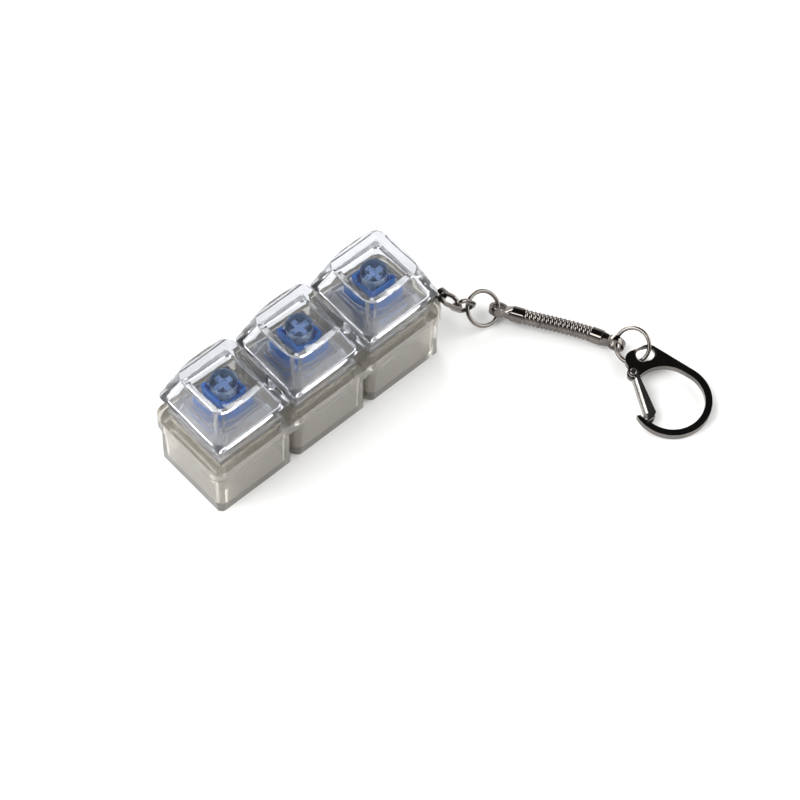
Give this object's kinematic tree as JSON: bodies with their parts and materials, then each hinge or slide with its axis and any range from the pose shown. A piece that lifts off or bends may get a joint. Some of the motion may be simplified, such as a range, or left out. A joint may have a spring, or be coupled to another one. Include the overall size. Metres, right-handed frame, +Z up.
{
  "type": "key-switch tester on a key chain",
  "caption": "Clear base with a row of clear key switches and keycaps on blue stems, with links, rings, a ribbed bending connector and a snap hook.",
  "frame": {"origin": "middle of the foot face of the base, on the surface it stands on", "axes": "+X along the row of keys towards the chain, +Y across the row, +Z up through the keys"},
  "size_m": [0.0916, 0.067, 0.0293],
  "materials": {
    "clear_base": "clear moulded plastic, slightly warm",
    "clear_housing": "clear moulded plastic",
    "clear_keycap": "clear polished plastic",
    "blue_stem": "satin moulded blue plastic",
    "spring_steel": "drawn spring wire",
    "brown_contact": "dull brown strip",
    "copper_contact": "bright copper strip",
    "dark_nickel": "dark bright nickel plating",
    "bright_gate": "bright nickel plated sheet"
  },
  "bodies": {
    "base": {"deck": "clear_base", "tray": "clear_base", "end_eye": "dark_nickel", "bottom_housing_1": "clear_housing", "top_housing_1": "clear_housing", "spring_1": "spring_steel", "fixed_contact_1": "brown_contact", "contact_leaf_1": "copper_contact", "bottom_housing_2": "clear_housing", "top_housing_2": "clear_housing", "spring_2": "spring_steel", "fixed_contact_2": "brown_contact", "contact_leaf_2": "copper_contact", "bottom_housing_3": "clear_housing", "top_housing_3": "clear_housing", "spring_3": "spring_steel", "fixed_contact_3": "brown_contact", "contact_leaf_3": "copper_contact"},
    "key_1": {"stem_1": "blue_stem", "keycap_1": "clear_keycap"},
    "key_2": {"stem_2": "blue_stem", "keycap_2": "clear_keycap"},
    "key_3": {"stem_3": "blue_stem", "keycap_3": "clear_keycap"},
    "link_1": {"link_1": "dark_nickel"},
    "link_2": {"link_2": "dark_nickel"},
    "ring_1": {"ring_1": "dark_nickel"},
    "ferrule_a": {"ferrule_a": "dark_nickel"},
    "snake_1": {"snake_1": "dark_nickel"},
    "snake_2": {"snake_2": "dark_nickel"},
    "snake_3": {"snake_3": "dark_nickel"},
    "snake_4": {"snake_4": "dark_nickel"},
    "ferrule_b": {"ferrule_b": "dark_nickel"},
    "ring_2": {"ring_2": "dark_nickel"},
    "hook": {"hook_body": "dark_nickel", "gate_pin": "bright_gate"},
    "gate": {"hook_gate": "bright_gate", "gate_spring": "spring_steel"}
  },
  "joints": [
    {"name": "key_1_press", "type": "slide", "parent": "base", "child": "key_1", "axis": [0, 0, -1], "range_m": [0, 0.0036], "stiffness_N_per_m": 75, "springref_m": -0.005, "deforming": ["spring_1"]},
    {"name": "key_2_press", "type": "slide", "parent": "base", "child": "key_2", "axis": [0, 0, -1], "range_m": [0, 0.0036], "stiffness_N_per_m": 75, "springref_m": -0.005, "deforming": ["spring_2"]},
    {"name": "key_3_press", "type": "slide", "parent": "base", "child": "key_3", "axis": [0, 0, -1], "range_m": [0, 0.0036], "stiffness_N_per_m": 75, "springref_m": -0.005, "deforming": ["spring_3"]},
    {"name": "link_1_swing", "type": "hinge", "parent": "base", "child": "link_1", "pos_m": [0.0312, -0.0059, 0.01325], "axis": [0, 1, 0], "range_deg": [-35, 15]},
    {"name": "link_2_swing", "type": "hinge", "parent": "link_1", "child": "link_2", "pos_m": [0.03495, -0.00748, 0.00831], "axis": [0.3891, 0.9212, 0], "range_deg": [-30, 10]},
    {"name": "ring_1_swing", "type": "hinge", "parent": "link_2", "child": "ring_1", "pos_m": [0.03738, -0.00738, 0.00475], "axis": [0.6053, 0.609, 0.5126], "range_deg": [-40, 20]},
    {"name": "ferrule_a_swing", "type": "hinge", "parent": "ring_1", "child": "ferrule_a", "pos_m": [0.04295, -0.0106, 0.00199], "axis": [0.6053, 0.609, 0.5126], "range_deg": [-30, 30]},
    {"name": "snake_1_bend", "type": "hinge", "parent": "ferrule_a", "child": "snake_1", "pos_m": [0.04565, -0.01528, 0.00199], "axis": [0, 0, 1], "range_deg": [-4, 4]},
    {"name": "snake_2_bend", "type": "hinge", "parent": "snake_1", "child": "snake_2", "pos_m": [0.04748, -0.0182, 0.00199], "axis": [0, 0, 1], "range_deg": [-4, 4]},
    {"name": "snake_3_bend", "type": "hinge", "parent": "snake_2", "child": "snake_3", "pos_m": [0.04936, -0.02109, 0.00199], "axis": [0, 0, 1], "range_deg": [-4, 4]},
    {"name": "snake_4_bend", "type": "hinge", "parent": "snake_3", "child": "snake_4", "pos_m": [0.05116, -0.02404, 0.00199], "axis": [0, 0, 1], "range_deg": [-4, 4]},
    {"name": "ferrule_b_bend", "type": "hinge", "parent": "snake_4", "child": "ferrule_b", "pos_m": [0.0528, -0.02707, 0.00199], "axis": [0, 0, 1], "range_deg": [-4, 4]},
    {"name": "ring_2_swing", "type": "hinge", "parent": "ferrule_b", "child": "ring_2", "pos_m": [0.055, -0.032, 0.00199], "axis": [0.5822, 0.5185, 0.6263], "range_deg": [-30, 30]},
    {"name": "hook_swing", "type": "hinge", "parent": "ring_2", "child": "hook", "pos_m": [0.0574, -0.03835, 0.00249], "axis": [0.7465, 0.0828, 0.6602], "range_deg": [-20, 20]},
    {"name": "gate_open", "type": "hinge", "parent": "hook", "child": "gate", "pos_m": [0.05234, -0.03969, 0.00218], "axis": [-0.0396, -0.0777, 0.9962], "range_deg": [0, 28], "stiffness_Nm_per_rad": 0.002, "springref_deg": -20.05}
  ]
}
